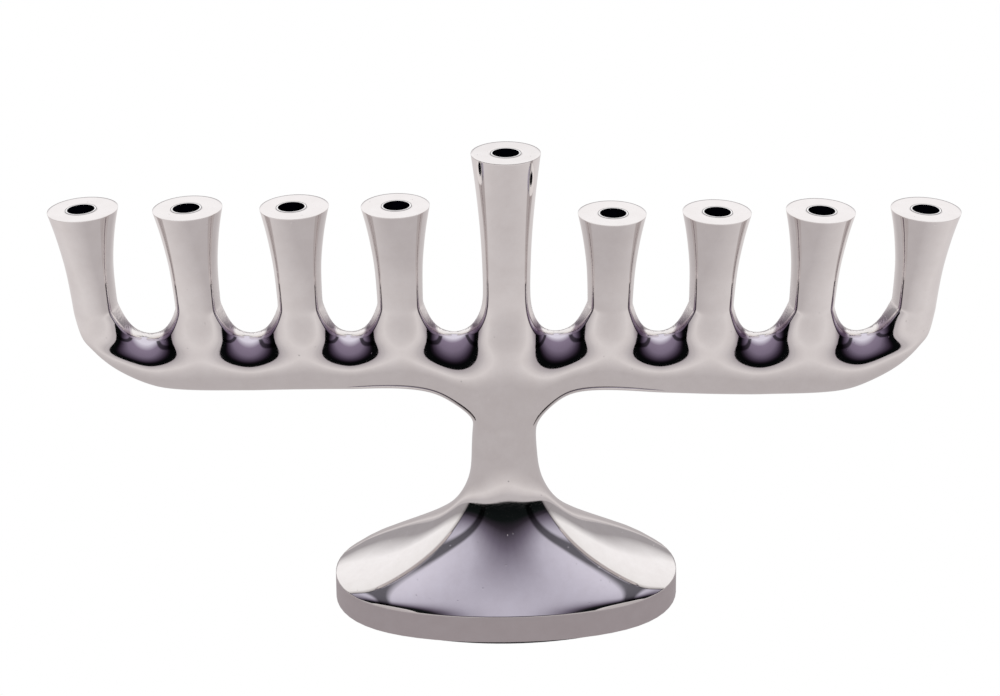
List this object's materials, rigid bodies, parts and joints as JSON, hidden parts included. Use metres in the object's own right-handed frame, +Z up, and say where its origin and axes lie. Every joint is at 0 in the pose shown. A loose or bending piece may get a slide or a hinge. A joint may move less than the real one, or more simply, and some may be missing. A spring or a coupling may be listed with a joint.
{
  "type": "nine-branched menorah",
  "caption": "Free-standing polished cast menorah: a row of tapering candle arms on one beam, with a taller middle arm, a waisted neck and a flared oval foot.",
  "frame": {"origin": "centre of the oval foot, on the surface that the felt ring stands on", "axes": "+X along the row of cups, +Y from the front to the back, +Z up"},
  "size_m": [0.3466, 0.0734, 0.2019],
  "materials": {
    "polished_casting": "cast aluminium, ground and buffed to a mirror",
    "dark_liner": "thin steel sleeve, heat-blackened inside, bright lip",
    "zinc_steel": "bright zinc-plated steel",
    "felt": "black wool felt"
  },
  "bodies": {
    "root": {"candelabrum_casting": "polished_casting", "foot_casting": "polished_casting", "felt_ring": "felt", "candle_liner_1": "dark_liner", "candle_liner_2": "dark_liner", "candle_liner_3": "dark_liner", "candle_liner_4": "dark_liner", "candle_liner_helper": "dark_liner", "candle_liner_5": "dark_liner", "candle_liner_6": "dark_liner", "candle_liner_7": "dark_liner", "candle_liner_8": "dark_liner", "plain_washer": "zinc_steel", "spring_washer": "zinc_steel", "hex_nut": "zinc_steel", "tie_stud": "zinc_steel", "locating_pin_left": "zinc_steel", "locating_pin_right": "zinc_steel"}
  },
  "joints": []
}
